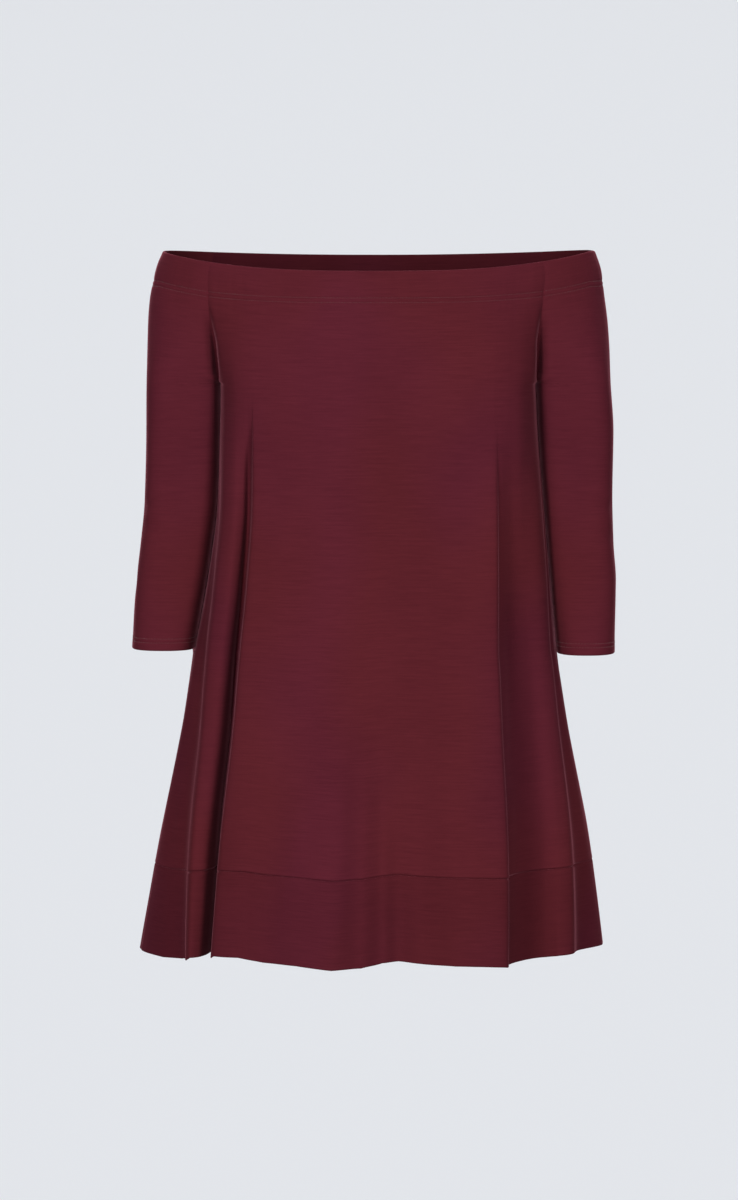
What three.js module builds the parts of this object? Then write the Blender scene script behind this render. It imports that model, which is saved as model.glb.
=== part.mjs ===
// Off-shoulder swing dress in jersey, hollow and filled out as if worn.
// Millimetres. The front faces -Y and +Z is up. The origin is the centre of the neck opening,
// half way down the elastic casing, where the wearer's upper arms and chest hold the dress.
import * as THREE from 'three';

// Cloth walls
const CLOTH = 1.5;
const CASING_WALL = 3.0;
const BAND_WALL = 2.5;
const CUFF_WALL = 2.3;
const SEAM_GAP = 0.3;
const BAND_GAP = 0.42;
const SLEEVE_CLEARANCE = 0.8;

// Heights
const NECK_LEVEL = 20;
const UNDERARM = -107;
const BAND_SEAM = -617;
const HEM = -709;
const CASING_DEPTH = 34;

// The neck edge dips at the front and a little at the back, and rises over the arms.
const NECK_HALF_WIDTH = 224;
const SHOULDER_EDGE = 29.5;
const FRONT_EDGE = 12;
const BACK_EDGE = 22;
const FRONT_EDGE_POWER = 2.9;
const BACK_EDGE_POWER = 2.2;

// How the folds drift from the underarm to the hem, and over what share of their length they begin
const FOLD_DRIFT = 1.15;
const FOLD_ONSET = 0.15;
const SPAN_STEPS = 2;

// Body sections: half widths at the photo's left and right, depths of the front and back, how
// square the section is, and how far the back swells out behind the arms
const BODY = [
  { z: 20, left: 172, right: 172, front: 95, back: 95, square: 2.1, behind: 0 },
  { z: -20, left: 172, right: 172, front: 100, back: 98, square: 2.6, behind: 0 },
  { z: -60, left: 168, right: 170, front: 105, back: 101, square: 3.2, behind: 0 },
  { z: -107, left: 160, right: 166, front: 109, back: 104, square: 3.8, behind: 0 },
  { z: -124, left: 160.2, right: 167.2, front: 110.7, back: 104.8, square: 3.9, behind: 0.5 },
  { z: -158, left: 161, right: 170, front: 114, back: 106, square: 4, behind: 0.8 },
  { z: -232, left: 164, right: 177, front: 117, back: 108, square: 4, behind: 1 },
  { z: -316, left: 175, right: 184, front: 122, back: 113, square: 3.8, behind: 1 },
  { z: -385, left: 187.3, right: 189.7, front: 129.8, back: 120.8, square: 3.4, behind: 0.85 },
  { z: -400, left: 189.8, right: 192.4, front: 131.5, back: 122.5, square: 3.3, behind: 0.4 },
  { z: -464, left: 200.5, right: 202.5, front: 139, back: 131, square: 2.8, behind: 0 },
  { z: -590, left: 226, right: 226, front: 154, back: 148, square: 2.45, behind: 0 },
  { z: -654, left: 237, right: 235, front: 161, back: 156, square: 2.35, behind: 0 },
  { z: -713, left: 247, right: 242, front: 167, back: 162, square: 2.3, behind: 0 },
];

// Sleeve sections: outer and inner edge measured outward from the middle of the dress, half
// depth, how far the tube's middle lies forward and how square the section is. Above the underarm
// the sleeve is open at its inner side, where the armhole seams join it to the front and back.
const SLEEVE_AT_LEFT = [
  { z: 20, outer: 220.5, inner: 66, depth: 65, forward: 0, square: 2 },
  { z: -5, outer: 229, inner: 66, depth: 64.5, forward: 0, square: 2 },
  { z: -30, outer: 234.5, inner: 79, depth: 62, forward: 0, square: 2.2 },
  { z: -53, outer: 236, inner: 103, depth: 59, forward: 0, square: 2.5 },
  { z: -80, outer: 236.5, inner: 134, depth: 55.5, forward: 0, square: 2.8 },
  { z: -107, outer: 237, inner: 160, depth: 52, forward: 0, square: 3 },
  { z: -158, outer: 237.5, inner: 161.2, depth: 50, forward: -1, square: 3 },
  { z: -232, outer: 239.5, inner: 164.2, depth: 48, forward: -1, square: 3 },
  { z: -274, outer: 243.5, inner: 169.4, depth: 47, forward: 1, square: 3 },
  { z: -316, outer: 248.5, inner: 175.4, depth: 45, forward: 4, square: 2.9 },
  { z: -347, outer: 251, inner: 180.8, depth: 43, forward: 7, square: 2.8 },
  { z: -386, outer: 253, inner: 187.8, depth: 41, forward: 11, square: 2.6 },
];
const SLEEVE_AT_RIGHT = [
  { z: 20, outer: 230, inner: 64, depth: 64.5, forward: 0, square: 2 },
  { z: -5, outer: 237.5, inner: 62, depth: 64.5, forward: 0, square: 2 },
  { z: -30, outer: 241, inner: 76, depth: 62, forward: 0, square: 2.2 },
  { z: -53, outer: 244, inner: 101, depth: 59, forward: 0, square: 2.5 },
  { z: -80, outer: 246, inner: 138, depth: 56, forward: 0, square: 2.8 },
  { z: -107, outer: 247, inner: 166, depth: 53, forward: 0, square: 3 },
  { z: -158, outer: 250, inner: 170.2, depth: 51, forward: -1, square: 3 },
  { z: -232, outer: 249, inner: 177.2, depth: 48, forward: -1, square: 3 },
  { z: -274, outer: 250, inner: 180.9, depth: 46, forward: 1, square: 3 },
  { z: -316, outer: 253, inner: 184.5, depth: 44, forward: 4, square: 2.9 },
  { z: -347, outer: 252.5, inner: 187, depth: 42, forward: 7, square: 2.8 },
  { z: -391, outer: 252, inner: 191.4, depth: 40, forward: 11, square: 2.6 },
];
const ARMHOLE_OPENING = 1.92;

// Fold lines, from the photo's left side seam to its right one. top and hem are fractions of the
// half width, out is how proud the line stands at the hem, start is where it begins and lift
// raises the hem there. aside swells a line of the back outward behind the arm.
const FRONT_LINES = [
  { name: 'side seam left', top: -1, hem: -1, out: 0, start: -130, lift: 2 },
  { name: 'side roll', top: -0.997, hem: -0.985, out: -26, start: -130, lift: 1 },
  { name: 'side hollow', top: -0.993, hem: -0.9, out: -33, start: -130, lift: 0 },
  { name: 'deep of fold A', top: -0.99, hem: -0.822, out: -27, start: -130, lift: 2 },
  { name: 'under fold A', top: -0.986, hem: -0.795, out: -20, start: -130, lift: 6 },
  { name: 'edge of fold A', top: -0.98, hem: -0.802, out: -4, start: -130, lift: 6 },
  { name: 'crest of fold A', top: -0.95, hem: -0.775, out: 4, start: -130, lift: 10 },
  { name: 'slope of fold A', top: -0.88, hem: -0.735, out: -7, start: -130, lift: 10 },
  { name: 'inside fold A', top: -0.82, hem: -0.7, out: -28, start: -110, lift: 10 },
  { name: 'deep of fold B', top: -0.79, hem: -0.677, out: -50, start: -110, lift: 11 },
  { name: 'under fold B', top: -0.765, hem: -0.664, out: -30, start: -110, lift: 11 },
  { name: 'edge of fold B', top: -0.75, hem: -0.674, out: -6, start: -110, lift: 11 },
  { name: 'crest of fold B', top: -0.725, hem: -0.65, out: 6, start: -110, lift: 14 },
  { name: 'front left', top: -0.62, hem: -0.57, out: 4, start: -200, lift: 14 },
  { name: 'soft hollow left', top: -0.5, hem: -0.465, out: -4, start: -400, lift: 9 },
  { name: 'front mid left', top: -0.36, hem: -0.33, out: 1, start: -400, lift: 7 },
  { name: 'low hem', top: -0.2, hem: -0.18, out: 3, start: -400, lift: 3 },
  { name: 'centre hollow', top: -0.06, hem: -0.055, out: -10, start: -440, lift: 4 },
  { name: 'centre rise', top: 0.04, hem: 0.035, out: 1, start: -440, lift: 11 },
  { name: 'short hollow', top: 0.12, hem: 0.105, out: -5, start: -560, lift: 12 },
  { name: 'front mid right', top: 0.23, hem: 0.2, out: 2, start: -440, lift: 10 },
  { name: 'soft hollow right', top: 0.38, hem: 0.35, out: -3, start: -440, lift: 6 },
  { name: 'front right', top: 0.53, hem: 0.46, out: 3, start: -200, lift: 5.5 },
  { name: 'crest of fold C', top: 0.675, hem: 0.552, out: 6, start: -130, lift: 4 },
  { name: 'edge of fold C', top: 0.71, hem: 0.578, out: -5, start: -130, lift: 3 },
  { name: 'under fold C', top: 0.725, hem: 0.571, out: -16, start: -130, lift: 3 },
  { name: 'deep of fold C', top: 0.75, hem: 0.588, out: -24, start: -130, lift: 3 },
  { name: 'hollow right of C', top: 0.8, hem: 0.655, out: -42, start: -130, lift: 4 },
  { name: 'slope of fold D', top: 0.88, hem: 0.745, out: -46, start: -130, lift: 4.5 },
  { name: 'crest of fold D', top: 0.975, hem: 0.83, out: -33, start: -110, lift: 6.5 },
  { name: 'back of fold D', top: 0.988, hem: 0.9, out: -34, start: -110, lift: 7.5 },
  { name: 'side roll right', top: 0.996, hem: 0.98, out: -22, start: -110, lift: 8 },
  { name: 'side seam right', top: 1, hem: 1, out: 0, start: -110, lift: 8 },
];
const BACK_LINES = [
  { name: 'side seam left', top: -1, hem: -1, out: 0, start: -130, lift: 2 },
  { name: 'side roll', top: -0.99, hem: -0.98, out: -3, start: -130, lift: 2, aside: 5 },
  { name: 'side hollow', top: -0.95, hem: -0.9, out: -17, start: -150, lift: 2, aside: 17 },
  { name: 'first hollow', top: -0.91, hem: -0.84, out: -18, start: -150, lift: 2, aside: 10 },
  { name: 'first fold', top: -0.84, hem: -0.73, out: 7, start: -150, lift: 1 },
  { name: 'second hollow', top: -0.74, hem: -0.62, out: -20, start: -150, lift: 4 },
  { name: 'second hollow side', top: -0.68, hem: -0.57, out: -21, start: -150, lift: 5 },
  { name: 'second fold', top: -0.57, hem: -0.46, out: 8, start: -170, lift: 3 },
  { name: 'second slope', top: -0.47, hem: -0.37, out: 4, start: -200, lift: 3 },
  { name: 'third hollow', top: -0.35, hem: -0.27, out: -11, start: -260, lift: 5 },
  { name: 'third hollow side', top: -0.28, hem: -0.21, out: -12, start: -260, lift: 6 },
  { name: 'centre fold', top: -0.15, hem: -0.1, out: 6, start: -260, lift: 4 },
  { name: 'centre slope', top: -0.03, hem: -0.01, out: 3, start: -260, lift: 5 },
  { name: 'fourth hollow', top: 0.09, hem: 0.09, out: -16, start: -220, lift: 7 },
  { name: 'fourth hollow side', top: 0.15, hem: 0.14, out: -17, start: -220, lift: 8 },
  { name: 'fourth fold', top: 0.28, hem: 0.25, out: 8, start: -220, lift: 5 },
  { name: 'fourth slope', top: 0.4, hem: 0.34, out: 4, start: -200, lift: 5 },
  { name: 'fifth hollow', top: 0.5, hem: 0.43, out: -22, start: -160, lift: 6 },
  { name: 'fifth hollow side', top: 0.56, hem: 0.48, out: -23, start: -160, lift: 6 },
  { name: 'fifth fold', top: 0.68, hem: 0.58, out: 8, start: -160, lift: 3 },
  { name: 'fifth slope', top: 0.77, hem: 0.66, out: 2, start: -160, lift: 4 },
  { name: 'sixth hollow', top: 0.86, hem: 0.75, out: -18, start: -140, lift: 6 },
  { name: 'sixth hollow side', top: 0.91, hem: 0.81, out: -18, start: -140, lift: 6, aside: 8 },
  { name: 'sixth fold', top: 0.955, hem: 0.9, out: 2, start: -140, lift: 6.5, aside: 15 },
  { name: 'side roll right', top: 0.99, hem: 0.975, out: -3, start: -110, lift: 7.5, aside: 5 },
  { name: 'side seam right', top: 1, hem: 1, out: 0, start: -110, lift: 8 },
];

// Rows of the upper part, shared by panels and sleeves: drop below the neck edge in the casing,
// then the share of the way from the casing to the underarm. wall and proud shape the casing.
const CASING_ROWS = [
  { drop: 0, wall: 1.6, proud: -0.9 },
  { drop: 4, wall: CASING_WALL, proud: 0.3 },
  { drop: 18, wall: CASING_WALL, proud: 0.9 },
  { drop: CASING_DEPTH - 3, wall: CASING_WALL, proud: 0 },
  { drop: CASING_DEPTH, wall: CLOTH, proud: -0.7 },
  { drop: CASING_DEPTH + 6, wall: CLOTH, proud: 0 },
];
const YOKE_SHARES = [0.3, 0.56, 0.78, 0.93, 1];
const PANEL_SHARES = [0.06, 0.15, 0.25, 0.36, 0.48, 0.6, 0.72, 0.86, 1];
const BAND_SHARES = [0, 0.3, 0.65, 1];
const SLEEVE_SHARES = [0.12, 0.28, 0.44, 0.58, 0.72, 0.86];
const SLEEVE_STEPS = 22;
const CUFF_HEM = 11;

const clamp01 = (v) => Math.min(1, Math.max(0, v));
const mix = (a, b, t) => a + (b - a) * t;

// Smooth reading of one column of a table at height z, with no overshoot between its rows
function readColumn(table, key, z) {
  if (z >= table[0].z) return table[0][key];
  const last = table.length - 1;
  if (z <= table[last].z) return table[last][key];
  let i = 0;
  while (z < table[i + 1].z) i += 1;
  const slope = (k) => (table[k + 1][key] - table[k][key]) / (table[k + 1].z - table[k].z);
  const tangent = (k) => {
    if (k === 0) return slope(0);
    if (k === last) return slope(last - 1);
    const before = slope(k - 1);
    const after = slope(k);
    return before * after <= 0 ? 0 : (2 * before * after) / (before + after);
  };
  const span = table[i + 1].z - table[i].z;
  const t = (z - table[i].z) / span;
  const t2 = t * t;
  const t3 = t2 * t;
  return (2 * t3 - 3 * t2 + 1) * table[i][key] + (t3 - 2 * t2 + t) * span * tangent(i)
    + (3 * t2 - 2 * t3) * table[i + 1][key] + (t3 - t2) * span * tangent(i + 1);
}

// Height of the neck edge over a point x, on the front or the back
function neckEdge(x, isFront) {
  const low = isFront ? FRONT_EDGE : BACK_EDGE;
  const power = isFront ? FRONT_EDGE_POWER : BACK_EDGE_POWER;
  return low + (SHOULDER_EDGE - low) * Math.min(1, Math.abs(x) / NECK_HALF_WIDTH) ** power;
}

// The upper rows: how far down each is, its level in the tables and how its height is found
function upperRows() {
  const reach = NECK_LEVEL - UNDERARM;
  const rows = CASING_ROWS.map((r) => ({ ...r, height: (edge) => edge - r.drop }));
  const bottom = CASING_ROWS[CASING_ROWS.length - 1].drop;
  for (const share of YOKE_SHARES) {
    rows.push({
      drop: mix(bottom, reach, share),
      wall: CLOTH,
      proud: 0,
      height: (edge) => mix(edge - bottom, UNDERARM, share),
    });
  }
  for (const row of rows) {
    row.share = Math.min(1, row.drop / reach);
    row.level = NECK_LEVEL - row.drop;
  }
  return rows;
}

// Half the angle by which a sleeve's section opens to the body at an upper row
const openAngle = (share) => ARMHOLE_OPENING * Math.sqrt(Math.max(0, 1 - share * share));

// A round section's sine or cosine, pushed out towards a square one
const flatten = (v, square) => Math.sign(v) * Math.abs(v) ** (2 / square);

// A sleeve's section at a level: an ellipse at the neck, and flatter at its front below that
function sleeveOval(table, level) {
  const outer = readColumn(table, 'outer', level);
  const inner = readColumn(table, 'inner', level);
  return {
    middle: (outer + inner) / 2,
    halfWidth: (outer - inner) / 2,
    halfDepth: readColumn(table, 'depth', level),
    forward: readColumn(table, 'forward', level),
    square: readColumn(table, 'square', level),
  };
}

// Where on a sleeve's section its open edge lies. Its distance outward is that of the ellipse.
const seamTurn = (angle, square) => Math.acos(flatten(Math.cos(angle), 4 / square));

// Where the armhole seam lies at an upper row: outward distance and depth from the middle plane
function armholePoint(table, row) {
  const angle = openAngle(row.share);
  const e = sleeveOval(table, row.level);
  const turn = seamTurn(angle, e.square);
  return {
    x: e.middle - e.halfWidth * Math.cos(angle),
    y: e.halfDepth * flatten(Math.sin(turn), e.square),
  };
}

// How much of its hem depth a fold has at a level: it begins softly and then grows steadily
function foldGrowth(line, level) {
  const along = clamp01((line.start - level) / (line.start - HEM));
  const onset = clamp01(along / FOLD_ONSET);
  return Math.sin((along * Math.PI) / 2) * onset * onset * (3 - 2 * onset);
}

// One fold line's point on the front or back at a level. limit gives the panel's edges there.
function linePoint(line, level, isFront, limit) {
  const down = clamp01((UNDERARM - level) / (UNDERARM - HEM));
  const fraction = mix(line.top, line.hem, down ** FOLD_DRIFT);
  const edge = fraction < 0 ? limit.left : limit.right;
  const depth = readColumn(BODY, isFront ? 'front' : 'back', level);
  const power = readColumn(BODY, 'square', level);
  const fullWidth = edge.x / (1 - (edge.y / depth) ** power) ** (1 / power);
  const x = fraction * edge.x;
  const round = Math.max(0, 1 - (Math.abs(x) / fullWidth) ** power) ** (1 / power);
  const y = depth * round + line.out * foldGrowth(line, level);
  const aside = Math.sign(x) * (line.aside ?? 0) * readColumn(BODY, 'behind', level);
  return { x: x + aside, y: isFront ? -y : y, lift: line.lift * down * down };
}

// Smooth curve through points, chord-length spaced, with SPAN_STEPS pieces between each pair
function splineSpan(p0, p1, p2, p3, t) {
  const knot = (a, b) => Math.max(1e-3, Math.hypot(b.x - a.x, b.y - a.y) ** 0.5);
  const k1 = knot(p0, p1);
  const k2 = k1 + knot(p1, p2);
  const k3 = k2 + knot(p2, p3);
  const k = mix(k1, k2, t);
  const blend = (key) => {
    const a1 = ((k1 - k) * p0[key] + k * p1[key]) / k1;
    const a2 = ((k2 - k) * p1[key] + (k - k1) * p2[key]) / (k2 - k1);
    const a3 = ((k3 - k) * p2[key] + (k - k2) * p3[key]) / (k3 - k2);
    const b1 = ((k2 - k) * a1 + k * a2) / k2;
    const b2 = ((k3 - k) * a2 + (k - k1) * a3) / (k3 - k1);
    return ((k2 - k) * b1 + (k - k1) * b2) / (k2 - k1);
  };
  return { x: blend('x'), y: blend('y'), lift: mix(p1.lift, p2.lift, t) };
}
function smoothCurve(points, before, after) {
  const all = [before, ...points, after];
  const curve = [];
  for (let i = 1; i < all.length - 2; i += 1) {
    for (let s = 0; s < SPAN_STEPS; s += 1) {
      curve.push(splineSpan(all[i - 1], all[i], all[i + 1], all[i + 2], s / SPAN_STEPS));
    }
  }
  curve.push({ ...points[points.length - 1] });
  return curve;
}
const beyond = (end, next) => ({ x: 2 * end.x - next.x, y: 2 * end.y - next.y, lift: end.lift });

// The section of a panel at a level, from the photo's left to its right, with outward normals
function panelSection(isFront, level, limit, isOpen) {
  const lines = isFront ? FRONT_LINES : BACK_LINES;
  const others = isFront ? BACK_LINES : FRONT_LINES;
  const points = lines.map((l) => linePoint(l, level, isFront, limit));
  const last = points.length - 1;
  let before = beyond(points[0], points[1]);
  let after = beyond(points[last], points[last - 1]);
  if (!isOpen) {
    before = linePoint(others[1], level, !isFront, limit);
    after = linePoint(others[others.length - 2], level, !isFront, limit);
  }
  const curve = smoothCurve(points, before, after);
  const turn = isFront ? 1 : -1;
  curve.forEach((p, i) => {
    const a = curve[i - 1] ?? (isOpen ? p : before);
    const b = curve[i + 1] ?? (isOpen ? p : after);
    const length = Math.hypot(b.x - a.x, b.y - a.y);
    p.nx = (turn * (b.y - a.y)) / length;
    p.ny = (-turn * (b.x - a.x)) / length;
  });
  if (!isOpen) {
    for (const end of [curve[0], curve[curve.length - 1]]) {
      end.nx = Math.sign(end.x);
      end.ny = 0;
      end.y = (isFront ? -1 : 1) * SEAM_GAP / 2;
    }
  }
  return curve;
}

// Rows of a body panel from the neck edge to the band seam
function panelRows(isFront) {
  const rows = [];
  for (const row of upperRows()) {
    const left = armholePoint(SLEEVE_AT_LEFT, row);
    const right = armholePoint(SLEEVE_AT_RIGHT, row);
    const isOpen = row.share < 1;
    const section = panelSection(isFront, row.level, { left, right }, isOpen);
    rows.push(section.map((p) => ({ ...p, z: row.height(neckEdge(p.x, isFront)), ...wallOf(row) })));
  }
  for (const share of PANEL_SHARES) {
    const level = mix(UNDERARM, BAND_SEAM + BAND_GAP / 2, share);
    rows.push(skirtRow(isFront, level, CLOTH));
  }
  return rows;
}
const wallOf = (row) => ({ wall: row.wall, proud: row.proud });

// A closed level below the underarm
function skirtRow(isFront, level, wall) {
  const left = { x: readColumn(BODY, 'left', level), y: 0 };
  const right = { x: readColumn(BODY, 'right', level), y: 0 };
  const section = panelSection(isFront, level, { left, right }, false);
  return section.map((p) => ({ ...p, z: level + p.lift, wall, proud: 0 }));
}
function bandRows(isFront) {
  return BAND_SHARES.map((share) => (
    skirtRow(isFront, mix(BAND_SEAM - BAND_GAP / 2, HEM, share), BAND_WALL)
  ));
}

// Rows of a sleeve. The first column is the front armhole edge, and the last is the back one.
function sleeveRow(table, sign, level, angle, options) {
  const e = sleeveOval(table, level);
  const start = seamTurn(angle, e.square);
  const row = [];
  for (let i = 0; i <= SLEEVE_STEPS; i += 1) {
    const turn = mix(start, 2 * Math.PI - start, i / SLEEVE_STEPS);
    const across = e.middle - e.halfWidth * flatten(Math.cos(turn), e.square);
    const x = sign * (across + SLEEVE_CLEARANCE);
    const y = -e.halfDepth * flatten(Math.sin(turn), e.square) - e.forward;
    const slope = (v) => Math.sign(v) * Math.abs(v) ** (2 - 2 / e.square);
    const nx = -sign * slope(Math.cos(turn)) * e.halfDepth;
    const ny = -slope(Math.sin(turn)) * e.halfWidth;
    const length = Math.hypot(nx, ny);
    const z = options.height(sign * across, turn);
    row.push({ x, y, z, nx: nx / length, ny: ny / length, wall: options.wall, proud: options.proud });
  }
  return row;
}
function sleeveRows(table, sign) {
  const rows = upperRows().map((row) => {
    const angle = openAngle(row.share);
    const height = (x, turn) => row.height(neckEdge(x, turn < Math.PI));
    return sleeveRow(table, sign, row.level, angle, { ...row, height });
  });
  const closedFrom = rows.length - 1;
  const cuff = table[table.length - 1].z;
  const levels = SLEEVE_SHARES.map((share) => ({ z: mix(UNDERARM, cuff, share), wall: CLOTH }));
  levels.push({ z: cuff + CUFF_HEM + 1, wall: CLOTH });
  levels.push({ z: cuff + CUFF_HEM, wall: CUFF_WALL });
  levels.push({ z: cuff, wall: CUFF_WALL });
  for (const { z, wall } of levels) {
    rows.push(sleeveRow(table, sign, z, 0, { wall, proud: 0, height: () => z }));
  }
  return { rows, closedFrom };
}

// A closed wall from a grid of outer points. Columns join into a tube from the row closedFrom on.
function wallMesh(rows, closedFrom) {
  const columns = rows[0].length;
  const positions = [];
  const cache = new Map();
  const vertex = (r, c, isInner) => {
    const column = r >= closedFrom && c === columns - 1 ? 0 : c;
    const key = `${r}/${column}/${isInner}`;
    if (!cache.has(key)) {
      const p = rows[r][column];
      const out = p.proud - (isInner ? p.wall : 0);
      cache.set(key, positions.length / 3);
      positions.push(p.x + p.nx * out, p.y + p.ny * out, p.z);
    }
    return cache.get(key);
  };
  const faces = [];
  const quad = (a, b, c, d) => faces.push(a, b, c, a, c, d);
  const last = rows.length - 1;
  for (let r = 0; r < last; r += 1) {
    for (let c = 0; c < columns - 1; c += 1) {
      quad(vertex(r, c), vertex(r + 1, c), vertex(r + 1, c + 1), vertex(r, c + 1));
      quad(vertex(r, c, true), vertex(r, c + 1, true), vertex(r + 1, c + 1, true), vertex(r + 1, c, true));
    }
    if (r < closedFrom) {
      const e = columns - 1;
      quad(vertex(r, 0), vertex(r, 0, true), vertex(r + 1, 0, true), vertex(r + 1, 0));
      quad(vertex(r, e), vertex(r + 1, e), vertex(r + 1, e, true), vertex(r, e, true));
    }
  }
  for (let c = 0; c < columns - 1; c += 1) {
    quad(vertex(0, c), vertex(0, c + 1), vertex(0, c + 1, true), vertex(0, c, true));
    quad(vertex(last, c), vertex(last, c, true), vertex(last, c + 1, true), vertex(last, c + 1));
  }
  const geometry = new THREE.BufferGeometry();
  geometry.setAttribute('position', new THREE.Float32BufferAttribute(positions, 3));
  geometry.setIndex(faces);
  geometry.computeVertexNormals();
  return geometry;
}

const dress = new THREE.Group();
dress.name = 'off_shoulder_dress';

function addPiece(name, rows, closedFrom, isReversed, colour) {
  const ordered = isReversed ? rows.map((row) => [...row].reverse()) : rows;
  const material = new THREE.MeshStandardMaterial({ color: colour, roughness: 0.85, metalness: 0 });
  const mesh = new THREE.Mesh(wallMesh(ordered, closedFrom), material);
  mesh.name = name;
  dress.add(mesh);
}

const OPEN = Infinity;
const BURGUNDY = 0x59252c;
const DEEP_BURGUNDY = 0x54232a;
const sleeveAtLeft = sleeveRows(SLEEVE_AT_LEFT, -1);
const sleeveAtRight = sleeveRows(SLEEVE_AT_RIGHT, 1);
addPiece('front_panel', panelRows(true), OPEN, false, BURGUNDY);
addPiece('back_panel', panelRows(false), OPEN, true, BURGUNDY);
addPiece('hem_band_front', bandRows(true), OPEN, false, DEEP_BURGUNDY);
addPiece('hem_band_back', bandRows(false), OPEN, true, DEEP_BURGUNDY);
addPiece('sleeve_right', sleeveAtLeft.rows, sleeveAtLeft.closedFrom, true, BURGUNDY);
addPiece('sleeve_left', sleeveAtRight.rows, sleeveAtRight.closedFrom, false, BURGUNDY);

export default dress;
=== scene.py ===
# %% [markdown]
# # Off-shoulder swing dress in burgundy jersey
# A real dress of this kind is six cut pieces of fine viscose jersey: a front, a back, two
# three-quarter sleeves and a doubled hem band in two halves. It is shown filled out as if worn,
# with nobody in it. The imported model is loaded first as a fixed frame. Everything is worked out
# in millimetres and divided by 1000 last.

# %% Load the imported model
import math
import bpy
import numpy as np
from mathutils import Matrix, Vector, noise


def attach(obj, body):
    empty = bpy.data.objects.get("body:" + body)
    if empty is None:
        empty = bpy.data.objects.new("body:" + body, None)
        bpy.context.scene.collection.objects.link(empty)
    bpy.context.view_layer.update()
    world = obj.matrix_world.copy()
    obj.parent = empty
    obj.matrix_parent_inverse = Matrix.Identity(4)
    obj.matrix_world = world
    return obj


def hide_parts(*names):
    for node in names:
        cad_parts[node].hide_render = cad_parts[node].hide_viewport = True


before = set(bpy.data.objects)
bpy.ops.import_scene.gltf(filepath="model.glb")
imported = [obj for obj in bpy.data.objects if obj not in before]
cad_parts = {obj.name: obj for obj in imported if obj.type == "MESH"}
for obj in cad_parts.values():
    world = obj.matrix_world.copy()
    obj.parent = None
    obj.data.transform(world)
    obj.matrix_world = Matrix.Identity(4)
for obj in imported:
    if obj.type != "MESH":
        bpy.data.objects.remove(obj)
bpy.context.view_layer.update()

MM = 0.001
print("packed pieces:", sorted(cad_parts))

# %% [markdown]
# ## Sizes and cut
# The pieces are lofted: a table gives the section of the body or of a sleeve at several heights,
# and a second table gives the fold lines that run down the skirt. They are the named sizes of the
# model's source, a few of them finer by a millimetre or two, so the cloth lies where its solids
# are. A maker could drape the same folds by simulation, but a table puts each fold where the
# photograph has it.

# %% Main heights, from the neck down
NECK_LEVEL = 20.0
UNDERARM = -107.0
BAND_SEAM = -617.0
HEM = -709.0
print("neck to hem:", NECK_LEVEL - HEM, "mm")


# %% A table with named columns
def table(columns, *rows):
    """Turn rows of numbers into one array for each named column."""
    return dict(zip(columns.split(), np.array(rows, float).T))


# %% Sections of the body
# left and right are half widths, front and back are depths, square is how square the section is,
# and behind is how far the back swells out behind the arms.
BODY = table(
    "z left right front back square behind",
    (20, 172, 172, 95, 95, 2.1, 0),
    (-20, 172, 172, 100, 98, 2.6, 0),
    (-60, 168, 170, 105, 101, 3.2, 0),
    (-107, 160.4, 168.6, 109, 104, 3.8, 0.7),
    (-124, 160.2, 169.2, 110.7, 104.8, 3.9, 0.9),
    (-158, 161, 171, 114, 106, 4, 1),
    (-232, 164, 177, 117, 108, 4, 1),
    (-316, 175, 184, 122, 113, 3.8, 1),
    (-385, 187.3, 189.7, 129.8, 120.8, 3.4, 1.1),
    (-400, 189.8, 192.4, 131.5, 122.5, 3.3, 0.8),
    (-464, 200.5, 202.5, 139, 131, 2.8, 0),
    (-590, 226, 226, 154, 148, 2.45, 0),
    (-654, 237, 235, 161, 156, 2.35, 0),
    (-713, 247, 242, 167, 162, 2.3, 0),
)
print("body sections:", len(BODY["z"]))

# %% Sections of the two sleeves
# outer and inner are distances from the middle, and forward is how far the arm hangs forward.
SLEEVE_AT_LEFT = table(
    "z outer inner depth forward square",
    (20, 220.5, 66, 65, 0, 2),
    (-5, 229, 66, 64.5, 0, 2),
    (-30, 234.5, 79, 62, 0, 2.2),
    (-53, 236, 98.5, 59, 0, 2.5),
    (-80, 236.5, 130.3, 55.5, 0, 3.2),
    (-92, 236.7, 144.7, 54, 0, 3.5),
    (-100, 236.9, 153.5, 53, 0, 3.7),
    (-107, 237, 160.4, 52, 0, 3.8),
    (-158, 237.5, 161.2, 50, -1, 4),
    (-232, 239.5, 164.2, 48, -1, 4),
    (-274, 243.5, 169.4, 47, 1, 3.9),
    (-316, 248.5, 175.4, 45, 4, 3.5),
    (-347, 251, 180.8, 43, 7, 3),
    (-386, 253, 187.8, 41, 11, 2.4),
)
SLEEVE_AT_RIGHT = table(
    "z outer inner depth forward square",
    (20, 230, 64, 64.5, 0, 2),
    (-5, 237.5, 62, 64.5, 0, 2),
    (-30, 241, 76, 62, 0, 2.2),
    (-53, 244, 98.5, 59, 0, 2.5),
    (-80, 246, 135.4, 56, 0, 3.2),
    (-92, 246.4, 151.3, 54.7, 0, 3.5),
    (-100, 246.7, 161, 53.8, 0, 3.7),
    (-107, 247, 168.6, 53, 0, 3.8),
    (-158, 250, 171.2, 51, -1, 4),
    (-232, 249, 177.2, 48, -1, 4),
    (-274, 250, 180.9, 46, 1, 3.9),
    (-316, 253, 184.5, 44, 4, 3.5),
    (-347, 252.5, 187, 42, 7, 3),
    (-391, 252, 191.4, 40, 11, 2.3),
)
print("sleeve sections:", len(SLEEVE_AT_LEFT["z"]), "and", len(SLEEVE_AT_RIGHT["z"]))

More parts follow.
